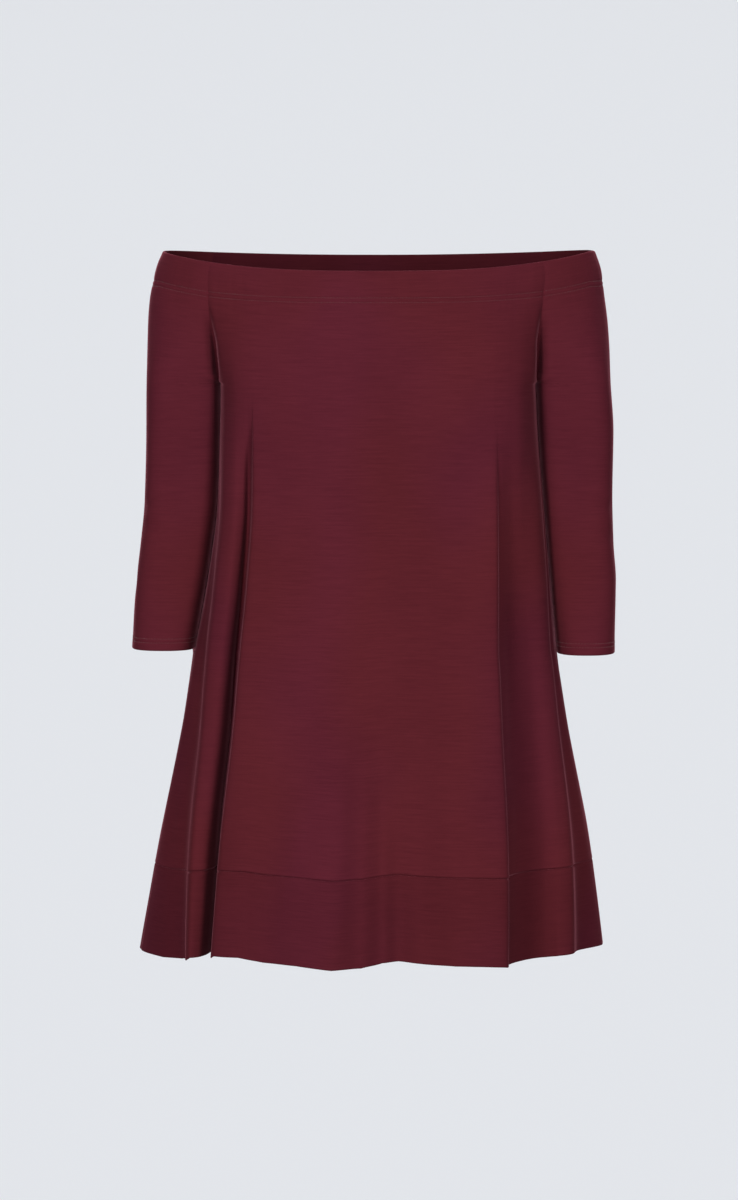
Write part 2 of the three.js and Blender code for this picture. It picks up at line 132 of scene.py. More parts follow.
# %% Fold lines of the front, from the side seam at the left of the picture to the right one
# top and hem are shares of the half width, out is how far the line stands out at the hem, start
# is where it begins, lift is how far its end rises, and drift is how late it moves aside.
FRONT_LINES = table(
    "top hem out start lift drift",
    (-1, -1, 0, -130, 2, 1.15),  # side seam
    (-0.998, -0.985, -26, -130, 1, 1.15),
    (-0.996, -0.9, -42, -130, 0, 1.6),  # side hollow
    (-0.994, -0.815, -40, -130, 2, 1.6),
    (-0.991, -0.786, -24, -130, 6, 1.6),
    (-0.986, -0.794, -2, -130, 6, 1.6),  # edge of fold A
    (-0.968, -0.776, 4, -130, 10, 1.4),
    (-0.905, -0.742, -7, -130, 10, 1.15),
    (-0.848, -0.71, -29, -110, 10, 1.15),
    (-0.814, -0.687, -52, -110, 11, 1.15),  # hollow under fold B
    (-0.79, -0.674, -30, -110, 11, 1.15),
    (-0.785, -0.688, -2, -110, 11, 1.15),  # edge of fold B
    (-0.768, -0.673, 5, -110, 14, 1.15),
    (-0.62, -0.57, 4, -200, 14, 1.15),
    (-0.5, -0.465, -4, -400, 9, 1.15),  # soft hollow
    (-0.36, -0.33, 1, -400, 7, 1.15),
    (-0.2, -0.18, 3, -400, 3, 1.15),
    (-0.06, -0.055, -10, -440, 4, 1.15),  # centre hollow
    (0.04, 0.035, 1, -440, 11, 1.15),
    (0.12, 0.105, -5, -560, 12, 1.15),  # short hollow
    (0.23, 0.2, 2, -440, 10, 1.15),
    (0.38, 0.35, -3, -440, 6, 1.15),  # soft hollow
    (0.53, 0.46, 3, -200, 5.5, 1.15),
    (0.73, 0.562, 5, -130, 4, 1.15),
    (0.748, 0.579, -1, -130, 3, 1.15),  # edge of fold C
    (0.76, 0.573, -14, -130, 3, 1.15),
    (0.785, 0.588, -24, -130, 3, 1.15),  # hollow under fold C
    (0.83, 0.655, -42, -130, 4, 1.15),
    (0.9, 0.745, -46, -130, 4.5, 1.15),
    (0.972, 0.8, -31, -110, 6.5, 1.6),
    (0.99, 0.855, -24, -110, 7.5, 2),  # edge of fold D
    (0.994, 0.885, -38, -110, 8, 2),
    (0.996, 0.985, -24, -110, 8, 1.15),
    (1, 1, 0, -110, 8, 1.15),  # side seam
)
print("front fold lines:", len(FRONT_LINES["top"]))

# %% Fold lines of the back, in the same order across the picture
BACK_LINES = table(
    "top hem out start lift aside",
    (-1, -1, 0, -130, 2, 0),
    (-0.99, -0.98, -3, -130, 2, 5),
    (-0.95, -0.9, -17, -150, 2, 17),
    (-0.91, -0.84, -18, -150, 2, 10),
    (-0.84, -0.73, 7, -150, 1, 0),
    (-0.74, -0.62, -20, -150, 4, 0),
    (-0.68, -0.57, -21, -150, 5, 0),
    (-0.57, -0.46, 8, -170, 3, 0),
    (-0.47, -0.37, 4, -200, 3, 0),
    (-0.35, -0.27, -11, -260, 5, 0),
    (-0.28, -0.21, -12, -260, 6, 0),
    (-0.15, -0.1, 6, -260, 4, 0),
    (-0.03, -0.01, 3, -260, 5, 0),
    (0.09, 0.09, -16, -220, 7, 0),
    (0.15, 0.14, -17, -220, 8, 0),
    (0.28, 0.25, 8, -220, 5, 0),
    (0.4, 0.34, 4, -200, 5, 0),
    (0.5, 0.43, -22, -160, 6, 0),
    (0.56, 0.48, -23, -160, 6, 0),
    (0.68, 0.58, 8, -160, 3, 0),
    (0.77, 0.66, 2, -160, 4, 0),
    (0.86, 0.75, -18, -140, 6, 0),
    (0.91, 0.81, -18, -140, 6, 8),
    (0.955, 0.9, 2, -140, 6.5, 15),
    (0.99, 0.975, -3, -110, 7.5, 5),
    (1, 1, 0, -110, 8, 0),
)
print("back fold lines:", len(BACK_LINES["top"]))

# %% [markdown]
# ## From tables to surfaces
# A smooth reading of a table column must not overshoot between its rows, or the side of the dress
# would ripple, so the slopes are harmonic means. Across the dress, a centripetal spline passes
# through the fold lines: it takes sharp turns at a rolled fold without looping. A panel and a
# sleeve meet where their two sections cross, which is how the armhole gets its real curve.


# %% Smooth reading of a column
def read(columns, key, z):
    """Value of one column at heights z, smooth and with no overshoot."""
    zs = columns["z"][::-1]
    values = columns[key][::-1]
    step = np.diff(zs)
    slope = np.diff(values) / step
    both = slope[:-1] * slope[1:]
    total = slope[:-1] + slope[1:]
    inner = np.where(both > 0, 2 * both / np.where(total == 0, 1, total), 0)
    tangent = np.concatenate(([slope[0]], inner, [slope[-1]]))
    z = np.clip(np.asarray(z, float), zs[0], zs[-1])
    i = np.clip(np.searchsorted(zs, z, side="right") - 1, 0, len(zs) - 2)
    t = (z - zs[i]) / step[i]
    return ((2 * t**3 - 3 * t**2 + 1) * values[i] + (t**3 - 2 * t**2 + t) * step[i] * tangent[i]
            + (3 * t**2 - 2 * t**3) * values[i + 1] + (t**3 - t**2) * step[i] * tangent[i + 1])


def mix(a, b, t):
    return a + (b - a) * t


def smooth01(t):
    t = np.clip(t, 0, 1)
    return t * t * (3 - 2 * t)


print("half width at the underarm:", float(read(BODY, "left", UNDERARM)), "mm")

# %% The neck edge
NECK_HALF_WIDTH = 224.0
SHOULDER_EDGE = 29.5
FRONT_EDGE = 12.0
BACK_EDGE = 22.0
FRONT_EDGE_POWER = 2.9
BACK_EDGE_POWER = 2.2


def neck_edge(x, is_front):
    """Height of the neck edge over a point x."""
    low = np.where(is_front, FRONT_EDGE, BACK_EDGE)
    power = np.where(is_front, FRONT_EDGE_POWER, BACK_EDGE_POWER)
    reach = np.minimum(1, np.abs(x) / NECK_HALF_WIDTH)
    return low + (SHOULDER_EDGE - low) * reach**power


# %% Heights below the neck edge
CASING_DEPTH = 34.0
YOKE_TOP = CASING_DEPTH + 6.0
CASING_AT_MIDDLE = 0.9
CASING_EDGE_POWER = 2.5
ARMHOLE_SEAM = 172.0


def upper_height(drop, edge, x):
    """Height of a point a given drop below the neck edge, levelling out at the underarm."""
    share = np.clip((drop - YOKE_TOP) / (NECK_LEVEL - UNDERARM - YOKE_TOP), 0, 1)
    aside = np.minimum(1, np.abs(x) / ARMHOLE_SEAM)
    deeper = mix(CASING_AT_MIDDLE, 1, aside**CASING_EDGE_POWER)
    casing = edge - drop * deeper
    return np.where(drop <= YOKE_TOP, casing, mix(edge - YOKE_TOP * deeper, UNDERARM, share))


print("lowest point of the neck edge:", float(neck_edge(0, True)), "mm")

# %% Where the armhole seam runs
ARMHOLE_OPENING = 1.92


def open_angle(level):
    """Half the angle by which a sleeve's section opens to the body."""
    share = np.clip((NECK_LEVEL - level) / (NECK_LEVEL - UNDERARM), 0, 1)
    return ARMHOLE_OPENING * np.sqrt(1 - share**2)


def flatten(value, square):
    """A round section's sine or cosine, pushed out towards a square one."""
    return np.sign(value) * np.abs(value) ** (2 / square)


def seam_turn(angle, square):
    """Where on a sleeve's section its open edge lies."""
    return np.arccos(np.clip(flatten(np.cos(angle), 4 / square), -1, 1))


def armhole(columns, level):
    """Distance from the middle and depth of the armhole seam at upper levels."""
    outer = read(columns, "outer", level)
    inner = read(columns, "inner", level)
    square = read(columns, "square", level)
    angle = open_angle(level)
    x = (outer + inner) / 2 - (outer - inner) / 2 * np.cos(angle)
    return x, read(columns, "depth", level) * flatten(np.sin(seam_turn(angle, square)), square)


lowest = armhole(SLEEVE_AT_LEFT, np.array([UNDERARM]))[0][0]
print(f"armhole seam ends {lowest:.1f} mm from the middle")

# %% Ease the underarm
EASE_LENGTH = 14.0
EASE_ABOVE = 52.0
EASE_ABOVE_FADE = 15.0
EASE_BELOW = 58.0
EASE_BELOW_FADE = 20.0


def eased(values, level):
    """Smooth values down the rows near the underarm, where the armhole seam turns its corner."""
    weight = np.exp(-((level - level.T) / EASE_LENGTH) ** 2) * np.abs(np.gradient(level[:, 0]))
    near = (smooth01((UNDERARM + EASE_ABOVE - level) / EASE_ABOVE_FADE)
            * smooth01((level - UNDERARM + EASE_BELOW) / EASE_BELOW_FADE))
    return mix(values, weight @ values / weight.sum(axis=1, keepdims=True), near)


# %% Points of the fold lines at every level
FOLD_DRIFT = 1.15
FOLD_ONSET = 0.15
FOLD_GROWTH = 0.8
SEAM_SHARE = 0.05


def line_points(lines, is_front, level, limit):
    """x, y and lift of each fold line (columns) at each level (rows)."""
    level = level[:, None]
    down = np.clip((UNDERARM - level) / (UNDERARM - HEM), 0, 1)
    fraction = mix(lines["top"], lines["hem"], down ** lines.get("drift", FOLD_DRIFT))
    left_x, left_y, right_x, right_y = (side[:, None] for side in limit)
    edge_x = np.where(fraction < 0, left_x, right_x)
    edge_y = np.where(fraction < 0, left_y, right_y)
    depth = read(BODY, "front" if is_front else "back", level)
    power = read(BODY, "square", level)
    full = edge_x / (1 - (edge_y / depth) ** power) ** (1 / power)
    x = fraction * edge_x
    rounding, soft = (np.maximum(0, 1 - (np.abs(x) / width) ** power) ** (1 / power)
                      for width in (full, eased(full, level)))
    rounding = mix(rounding, soft, smooth01((1 - np.abs(fraction)) / SEAM_SHARE))
    along = np.clip((lines["start"] - level) / (lines["start"] - HEM), 0, 1)
    grown = np.sin(along * math.pi / 2) ** FOLD_GROWTH * smooth01(along / FOLD_ONSET)
    y = depth * rounding + lines["out"] * grown
    x = x + np.sign(x) * lines.get("aside", 0) * read(BODY, "behind", level)
    return x, -y if is_front else y, lines["lift"] * down**2


# %% The section curve through the fold lines
def spline_span(p0, p1, p2, p3, t):
    """Centripetal curve from p1 to p2. Each point is (rows, 2), and t is (steps,)."""
    def knot(a, b):
        return np.maximum(1e-3, np.hypot(*(b - a).T) ** 0.5)[:, None, None]
    k1 = knot(p0, p1)
    k2 = k1 + knot(p1, p2)
    k3 = k2 + knot(p2, p3)
    k = mix(k1, k2, t[None, :, None])
    p0, p1, p2, p3 = (p[:, None, :] for p in (p0, p1, p2, p3))
    a1 = ((k1 - k) * p0 + k * p1) / k1
    a2 = ((k2 - k) * p1 + (k - k1) * p2) / (k2 - k1)
    a3 = ((k3 - k) * p2 + (k - k2) * p3) / (k3 - k2)
    b1 = ((k2 - k) * a1 + k * a2) / k2
    b2 = ((k3 - k) * a2 + (k - k1) * a3) / (k3 - k1)
    return ((k2 - k) * b1 + (k - k1) * b2) / (k2 - k1)


# %% A panel's sections
SEAM_GAP = 0.04
SPAN_STEPS = np.arange(7) / 7
END_STEPS = np.array([0, 0.02, 0.05, 0.09, 0.15, 0.24, 0.36, 0.5, 0.64, 0.78, 0.9])


def section(is_front, level, limit, is_open):
    """Points and outward normals of a panel: x, y, lift, nx and ny, each (rows, columns)."""
    lines = FRONT_LINES if is_front else BACK_LINES
    others = BACK_LINES if is_front else FRONT_LINES
    x, y, lift = line_points(lines, is_front, level, limit)
    ox, oy, _ = line_points(others, not is_front, level, limit)
    points = np.stack([x, y], axis=-1)
    other = np.stack([ox, oy], axis=-1)
    opened = is_open[:, None]
    before = np.where(opened, 2 * points[:, 0] - points[:, 1], other[:, 1])
    after = np.where(opened, 2 * points[:, -1] - points[:, -2], other[:, -2])
    run = np.concatenate([before[:, None], points, after[:, None]], axis=1)
    curve, lifts = [], []
    spans = points.shape[1] - 1
    for s in range(spans):
        t = END_STEPS if s == 0 else SPAN_STEPS
        if s == spans - 1:
            t = np.sort(1 - END_STEPS[1:])
            t = np.concatenate(([0], t))
        curve.append(spline_span(*(run[:, s + k] for k in range(4)), t))
        lifts.append(mix(lift[:, s:s + 1], lift[:, s + 1:s + 2], t[None, :]))
    curve = np.concatenate(curve + [points[:, -1:]], axis=1)
    lifts = np.concatenate(lifts + [lift[:, -1:]], axis=1)
    first = np.where(opened, curve[:, 0], before)[:, None]
    last = np.where(opened, curve[:, -1], after)[:, None]
    padded = np.concatenate([first, curve, last], axis=1)
    tangent = padded[:, 2:] - padded[:, :-2]
    tangent /= np.linalg.norm(tangent, axis=2, keepdims=True)
    turn = 1 if is_front else -1
    nx, ny = turn * tangent[..., 1], -turn * tangent[..., 0]
    px, py = curve[..., 0].copy(), curve[..., 1].copy()
    closed = ~is_open
    for end in (0, -1):
        nx[closed, end] = np.sign(px[closed, end])
        ny[closed, end] = 0
        py[closed, end] = (-1 if is_front else 1) * SEAM_GAP / 2
    return px, py, lifts, nx, ny


# %% [markdown]
# ## Edges, rolls and creases
# What tells a viewer that this is sewn jersey is small: the folded neck edge is round, the twin
# needle draws two shallow grooves, each seam pulls its two edges in, and the cloth between them
# is never quite even. Most of these are heights added along the surface normal. Only the cleft
# between sleeve and body is deeper, so there the points themselves move back. The large folds
# are already in the section, so noise only unevens them.


# %% Folded edges and grooves
FOLD_RADIUS = 1.4
THINNEST_EDGE = 0.004


def round_edge(distance, wall):
    """Outer height and wall of a doubled edge that is folded round, at a distance from it."""
    t = np.clip(distance / FOLD_RADIUS, 0, 1)
    bulge = np.sqrt(np.maximum(THINNEST_EDGE, 1 - (1 - t) ** 2))
    return -(1 - bulge) * wall / 2, wall * bulge


def dent(distance, depth, width):
    return -depth * np.exp(-(distance / width) ** 2)


# %% Seams
SEAM_ROLL = 0.75
SEAM_ROLL_WIDTH = 2.4
CLEFT_DEPTH = 1.1
CLEFT_WIDTH = 1.2
PUFF_WIDTH = 2.6
PUFF_AT = 1.5


def seam_roll(distance, strength=1.0):
    return dent(distance, SEAM_ROLL, SEAM_ROLL_WIDTH) * strength


def band_seam(distance, puff):
    """The seam of the hem band: a narrow cleft, with the edge above it slightly rolled out."""
    cleft = dent(distance, CLEFT_DEPTH + puff, CLEFT_WIDTH)
    return cleft - dent(distance - PUFF_AT, puff, PUFF_WIDTH)


def band_strength(distance):
    """How deep the band's seam is, at a distance from the side seam: less deep close to it."""
    return mix(0.35, 1, smooth01(distance / 60))


print(f"the band's seam is {-band_seam(0, 0.5):.1f} mm deep in the skirt")

# %% Seams of the armholes
VALLEY_SHARE = 0.30
VALLEY_START = 37.0
VALLEY_LENGTH = 75.0
VALLEY_END = NECK_LEVEL - UNDERARM
VALLEY_FADE = 12.0


def armhole_valley(y, distance, drop, width):
    """Draw cloth near the armhole seam back, more and more down to the underarm."""
    deep = (VALLEY_SHARE * smooth01((drop - VALLEY_START) / VALLEY_LENGTH)
            * smooth01((VALLEY_END - drop) / VALLEY_FADE))
    return y * (1 - deep * np.exp(-(distance / width) ** 2))


def side_strength(drop):
    """How strongly a side or armhole seam pulls in: little in the casing, more in the yoke."""
    growing = mix(0.3, 1.2, smooth01((drop - 36) / 70))
    return growing * mix(1, 0.4, smooth01((drop - 100) / 15))


print(f"the valley is {100 * VALLEY_SHARE:.0f}% of the depth at its deepest")


# %% Uneven drape
def field(u, v, along, down, seed):
    """Smooth noise from -1 to 1 with the given wave sizes in millimetres."""
    flat = np.empty(u.size)
    for i, (a, b) in enumerate(zip(u.ravel() / along, v.ravel() / down)):
        flat[i] = noise.noise(Vector((a, b, seed)))
    return flat.reshape(u.shape)


# %% Creases
def crease(u, v, u0, v0, u1, v1, width, depth):
    """A soft trough along a short line from u0, v0 to u1, v1."""
    length = math.hypot(u1 - u0, v1 - v0)
    along = ((u - u0) * (u1 - u0) + (v - v0) * (v1 - v0)) / length**2
    across = ((u - u0) * (v1 - v0) - (v - v0) * (u1 - u0)) / length
    fade = smooth01(along / 0.35) * smooth01((1 - along) / 0.35)
    return -depth * np.exp(-(across / width) ** 2) * np.where((along > 0) & (along < 1), fade, 0)


# %% [markdown]
# ## One shell builder for every piece
# A cut piece is a grid: rows run down it and columns run across it. The same grid, moved in by the
# cloth's thickness, is its wrong side, and strips along the free edges join the two into a closed
# shell. The wrong side has a material slot of its own: jersey is a little duller there, and its
# colour is also darkened as painted shade. The UV map is in metres of cloth, so that the knit has
# its real scale on every piece.


# %% Build a closed shell from a grid
RIGHT_SIDE, WRONG_SIDE = 0, 1
SHARP_FROM = math.radians(55)


def shell(name, grid, closed_from=None, flip=False):
    """grid has x, y, z, nx, ny, out and wall, all (rows, columns), in millimetres."""
    rows, columns = grid["x"].shape
    if flip:
        grid = {key: value[:, ::-1] for key, value in grid.items()}
    joined = rows if closed_from is None else closed_from
    outer = np.stack([grid["x"] + grid["nx"] * grid["out"],
                      grid["y"] + grid["ny"] * grid["out"], grid["z"]], axis=-1)
    inside = grid["out"] - grid["wall"]
    inner = np.stack([grid["x"] + grid["nx"] * inside,
                      grid["y"] + grid["ny"] * inside, grid["z"]], axis=-1)
    index = np.arange(rows * columns).reshape(rows, columns)
    index[joined:, -1] = index[joined:, 0]
    back = index + rows * columns
    r, c = slice(0, rows - 1), slice(0, columns - 1)
    r1, c1 = slice(1, rows), slice(1, columns)

    def quads(a, b, c_, d):
        return np.stack([a.ravel(), b.ravel(), c_.ravel(), d.ravel()], axis=-1)

    faces = [quads(index[r, c], index[r1, c], index[r1, c1], index[r, c1]),
             quads(back[r, c], back[r, c1], back[r1, c1], back[r1, c]),
             quads(index[0, c], index[0, c1], back[0, c1], back[0, c]),
             quads(index[-1, c], back[-1, c], back[-1, c1], index[-1, c1])]
    e = slice(0, min(joined, rows - 1))
    e1 = slice(1, min(joined, rows - 1) + 1)
    faces += [quads(index[e, 0], back[e, 0], back[e1, 0], index[e1, 0]),
              quads(index[e, -1], index[e1, -1], back[e1, -1], back[e, -1])]
    faces = np.concatenate(faces)
    verts = np.concatenate([outer.reshape(-1, 3), inner.reshape(-1, 3)]) * MM
    used, faces = np.unique(faces, return_inverse=True)
    faces = faces.reshape(-1, 4)
    mesh = bpy.data.meshes.new(name)
    mesh.from_pydata(verts[used].tolist(), [], faces.tolist())
    mesh.materials.append(None)
    mesh.materials.append(None)
    cloth = np.stack([grid["u"], grid["v"]], axis=-1).reshape(-1, 2)
    cloth = np.concatenate([cloth, cloth])[used] * MM
    layer = mesh.uv_layers.new(name="cloth")
    layer.data.foreach_set("uv", cloth[faces.ravel()].ravel())
    one_side = (rows - 1) * (columns - 1)
    side = np.full(len(faces), RIGHT_SIDE)
    side[one_side:2 * one_side] = WRONG_SIDE
    mesh.polygons.foreach_set("material_index", side)
    mesh.shade_smooth()
    mesh.set_sharp_from_angle(angle=SHARP_FROM)
    mesh.update()
    piece = bpy.data.objects.new(name, mesh)
    bpy.context.scene.collection.objects.link(piece)
    area = sum(p.area for p in mesh.polygons) / 2
    print(f"{name}: {len(mesh.polygons)} faces, {area:.3f} m2 a side")
    return piece


# %% Distances along the rows of a grid
def arc(x, y):
    """Distance along each row, measured from its first column."""
    step = np.hypot(np.diff(x, axis=1), np.diff(y, axis=1))
    return np.concatenate([np.zeros((x.shape[0], 1)), np.cumsum(step, axis=1)], axis=1)


def arc_from_middle(x, y):
    """Distance along each row, measured from its middle column."""
    run = arc(x, y)
    return run - run[:, x.shape[1] // 2:x.shape[1] // 2 + 1]


def arc_from_ends(x, y):
    """Distance along each row to its nearer end."""
    run = arc(x, y)
    return np.minimum(run, run[:, -1:] - run)


# %% [markdown]
# ## Front and back
# The casing rows are close together, because the folded edge and the two stitched grooves need
# them. Rows crowd again round the bottom of the armhole, and at the seam of the hem band. Below,
# a row every 5 mm is enough for folds that run down the skirt.

# %% Rows of the upper part, as drops from the neck edge
casing_drops = np.concatenate([
    [0, 0.12, 0.35, 0.7, 1.1, 1.6, 2.4, 4, 7, 11, 15, 19, 23, 26, 28.4],
    np.arange(29.6, 38.2, 0.6), [39, YOKE_TOP]])
# The armhole's round bottom crosses the corner of the sleeve, so its rows step evenly round it.
bottom = 0.48 * (np.arange(18, 5, -1) / 18) ** 2
armhole_drops = (NECK_LEVEL - UNDERARM) * np.sqrt(1 - bottom**2)
yoke_drops = np.concatenate([[43, 47], np.arange(52, 110, 4.5), armhole_drops, [127]])
upper_drops = np.concatenate([casing_drops, yoke_drops])
print("rows above the underarm:", len(upper_drops))

# %% Rows of the skirt and of the hem band
seam_steps = np.array([0.35, 0.7, 1.1, 1.7, 2.5, 3.6, 5])
skirt_bottom = BAND_SEAM + SEAM_GAP / 2
skirt_levels = np.concatenate([
    np.arange(UNDERARM - 4, skirt_bottom + 8, -5), (skirt_bottom + seam_steps)[::-1],
    [skirt_bottom]])
band_top = BAND_SEAM - SEAM_GAP / 2
band_levels = np.concatenate([
    [band_top], band_top - seam_steps, np.arange(band_top - 8, HEM + 3.5, -4),
    HEM + np.array([2.4, 1.6, 1.1, 0.7, 0.35, 0.12, 0])])
print("rows of the skirt and the band:", len(skirt_levels), "and", len(band_levels))

# %% Profile of the casing
JERSEY = 0.9
CASING_WALL = 2.8
CASING_PUFF = 0.9
TWIN_LINES = (31.0, 36.0)
GROOVE_DEPTH = 0.45
GROOVE_WIDTH = 1.3
RIDGE_HEIGHT = 0.15
RIDGE_WIDTH = 1.2


def casing_profile(drop):
    """Outer height and wall thickness of the top of every piece."""
    edge_out, edge_wall = round_edge(drop, CASING_WALL)
    puff = CASING_PUFF * np.sin(np.pi * np.clip(drop / TWIN_LINES[0], 0, 1)) ** 0.8
    grooves = sum(dent(drop - line, GROOVE_DEPTH, GROOVE_WIDTH) for line in TWIN_LINES)
    ridge = -dent(drop - sum(TWIN_LINES) / 2, RIDGE_HEIGHT, RIDGE_WIDTH)
    thin = smooth01((drop - TWIN_LINES[1]) / 2)
    return edge_out + puff + grooves + ridge, mix(edge_wall, JERSEY, thin)


print("stitched lines lie", TWIN_LINES, "mm below the neck edge")


# %% Relief that unevens the cloth
def drape_relief(u, v, seed):
    """Unevenness of hanging cloth: long soft ripples that grow towards the hem."""
    down = smooth01((v - 60) / 600)
    broad = field(u, v, 55, 420, seed) * mix(0.5, 1.9, down)
    fine = field(u, v, 17, 150, seed + 7) * mix(0.18, 0.4, down)
    return broad + fine


def casing_relief(u, v, seed):
    """Small gathers that the elastic draws into the casing and just below it."""
    near = smooth01((v - 2) / 8) * smooth01((64 - v) / 30)
    return field(u, v, 5.5, 60, seed) * 0.32 * near + field(u, v, 14, 90, seed + 3) * 0.4 * near


# %% A panel's grid
PANEL_VALLEY = 3.8
PANEL_CALM = 12.0


def panel_grid(is_front, seed):
    levels = np.concatenate([NECK_LEVEL - upper_drops, skirt_levels])
    drops = np.concatenate([upper_drops, NECK_LEVEL - skirt_levels])
    upper = len(upper_drops)
    lx, ly = armhole(SLEEVE_AT_LEFT, levels)
    rx, ry = armhole(SLEEVE_AT_RIGHT, levels)
    lx[upper:], rx[upper:] = (read(BODY, side, levels[upper:]) for side in ("left", "right"))
    ly[upper - 1:] = ry[upper - 1:] = 0
    is_open = np.arange(len(levels)) < upper - 1
    x, y, lift, nx, ny = section(is_front, levels, (lx, ly, rx, ry), is_open)
    valley = armhole_valley(y, arc_from_ends(x, y), drops[:, None], PANEL_VALLEY)
    y = np.where(is_open[:, None], valley, y)
    edge = neck_edge(x, is_front)
    z = np.where(np.arange(len(levels))[:, None] < upper,
                 upper_height(drops[:, None], edge, x), levels[:, None] + lift)
    out, wall = casing_profile(drops)
    u, v = arc_from_middle(x, y), np.broadcast_to(drops[:, None], x.shape)
    to_seam = arc_from_ends(x, y)
    out = out[:, None] + seam_roll(to_seam, side_strength(drops)[:, None])
    out = out + band_seam(levels[:, None] - skirt_bottom, 0.5) * band_strength(to_seam)
    calm = smooth01(to_seam / PANEL_CALM)
    relief = (drape_relief(u, v, seed) + casing_relief(u, v, seed + 1)) * calm
    wall = np.broadcast_to(wall[:, None], x.shape)
    return dict(x=x, y=y, z=z, nx=nx, ny=ny, out=out + relief, wall=wall, u=u, v=v)


# %% A hem band's grid
BAND_WALL = 1.8


def band_grid(is_front, seed):
    lx, rx = (read(BODY, side, band_levels) for side in ("left", "right"))
    zero = np.zeros(len(band_levels))
    closed = np.zeros(len(band_levels), bool)
    x, y, lift, nx, ny = section(is_front, band_levels, (lx, zero, rx, zero), closed)
    z = band_levels[:, None] + lift
    u = arc_from_middle(x, y)
    v = np.broadcast_to(NECK_LEVEL - band_levels[:, None], x.shape)
    edge_out, wall = round_edge(band_levels - HEM, BAND_WALL)
    to_seam = arc_from_ends(x, y)
    out = edge_out[:, None] + seam_roll(to_seam)
    out = out + band_seam(band_top - band_levels[:, None], 0.1) * band_strength(to_seam)
    relief = drape_relief(u, v, seed) * smooth01(to_seam / PANEL_CALM)
    wall = np.broadcast_to(wall[:, None], x.shape)
    return dict(x=x, y=y, z=z, nx=nx, ny=ny, out=out + relief, wall=wall, u=u, v=v)


# %% [markdown]
# ## Sleeves
# Above the underarm a sleeve is open where the front and back join it, and below it is a tube with
# an underarm seam. Its first and last columns meet there. A row's columns share out its length,
# and not its angle, because a squarish section would otherwise get too few at its corners. The
# elbow and the top of one sleeve get a few soft creases.

# %% Columns of a sleeve
SLEEVE_SHARES = np.concatenate([
    [0, 0.004, 0.009, 0.016, 0.026, 0.04], np.linspace(0.055, 0.945, 84),
    [0.96, 0.974, 0.984, 0.991, 0.996, 1]])
print("columns of a sleeve:", len(SLEEVE_SHARES))


def even_turns(start, half, depth, square):
    """Turns round a sleeve's section that share out its length as SLEEVE_SHARES says."""
    share = 0.5 - 0.5 * np.cos(np.linspace(0, math.pi, 721))
    fine = mix(start, 2 * math.pi - start, share[None, :])
    run = arc(half * flatten(np.cos(fine), square), depth * flatten(np.sin(fine), square))
    return np.stack([np.interp(SLEEVE_SHARES * r[-1], r, f) for r, f in zip(run, fine)])


# %% A sleeve's grid
SLEEVE_CLEARANCE = 0.35
SLEEVE_VALLEY = 6.0
SLEEVE_CALM = 10.0
CUFF_WALL = 1.8
CUFF_LINES = (8.5, 12.5)
ABOVE_CUFF = 30.0


def sleeve_grid(columns, sign, creases, seed):
    cuff = columns["z"][-1]
    tube = np.concatenate([
        np.arange(UNDERARM - 4, cuff + 16, -4.5), cuff + np.arange(14.6, 6.2, -0.7),
        cuff + np.array([5, 3.6, 2.4, 1.6, 1.1, 0.7, 0.35, 0.12, 0])])
    levels = np.concatenate([NECK_LEVEL - upper_drops, tube])
    drops = np.concatenate([upper_drops, NECK_LEVEL - tube])
    upper = len(upper_drops)
    outer, inner, depth, forward, square = (
        read(columns, key, levels)[:, None]
        for key in ("outer", "inner", "depth", "forward", "square"))
    angle = seam_turn(open_angle(levels)[:, None], square)
    angle[upper - 1:] = 0
    half = (outer - inner) / 2
    turn = even_turns(angle, half, depth, square)
    across = (outer + inner) / 2 - half * flatten(np.cos(turn), square)
    x = sign * (across + SLEEVE_CLEARANCE)
    y = -depth * flatten(np.sin(turn), square) - forward
    nx = -sign * flatten(np.cos(turn), square / (square - 1)) * depth
    ny = -flatten(np.sin(turn), square / (square - 1)) * half
    length = np.hypot(nx, ny)
    valley = armhole_valley(y, arc_from_ends(x, y), drops[:, None], SLEEVE_VALLEY)
    y = np.where(np.arange(len(levels))[:, None] < upper - 1, valley, y)
    edge = neck_edge(sign * across, turn < math.pi)
    z = np.where(np.arange(len(levels))[:, None] < upper,
                 upper_height(drops[:, None], edge, x), levels[:, None] + 0 * x)
    top_out, top_wall = casing_profile(drops)
    end_out, end_wall = round_edge(levels - cuff, CUFF_WALL)
    grooves = sum(dent(levels - cuff - line, 0.35, 1.1) for line in CUFF_LINES)
    turned = smooth01((cuff + CUFF_LINES[1] + 2 - levels) / 2)
    wall = np.where(levels > cuff + ABOVE_CUFF, top_wall, mix(JERSEY, end_wall, turned))
    out = np.where(levels > cuff + ABOVE_CUFF, top_out, (end_out + 0.25) * turned + grooves)
    u, v = arc_from_middle(x, y), np.broadcast_to(drops[:, None], x.shape)
    to_seam = arc_from_ends(x, y)
    out = out[:, None] + seam_roll(to_seam, side_strength(drops)[:, None])
    calm = smooth01(to_seam / SLEEVE_CALM)
    relief = field(u, v, 38, 130, seed) * 0.9 + field(u, v, 13, 60, seed + 5) * 0.22
    relief = (relief + casing_relief(u, v, seed + 1)) * calm
    relief += sum(crease(u, v, *row) for row in zip(*creases.values())) * calm
    wall = np.broadcast_to(wall[:, None], x.shape)
    grid = dict(x=x, y=y, z=z, nx=nx / length, ny=ny / length, out=out + relief, wall=wall,
                u=u, v=v)
    return grid, upper - 1


# %% [markdown]
# ## Sew the pieces
# The six grids are worked out first. The edges of a sleeve and of the panels are then brought to
# the same points along each armhole, as a sewing machine does, and last each grid becomes cloth.

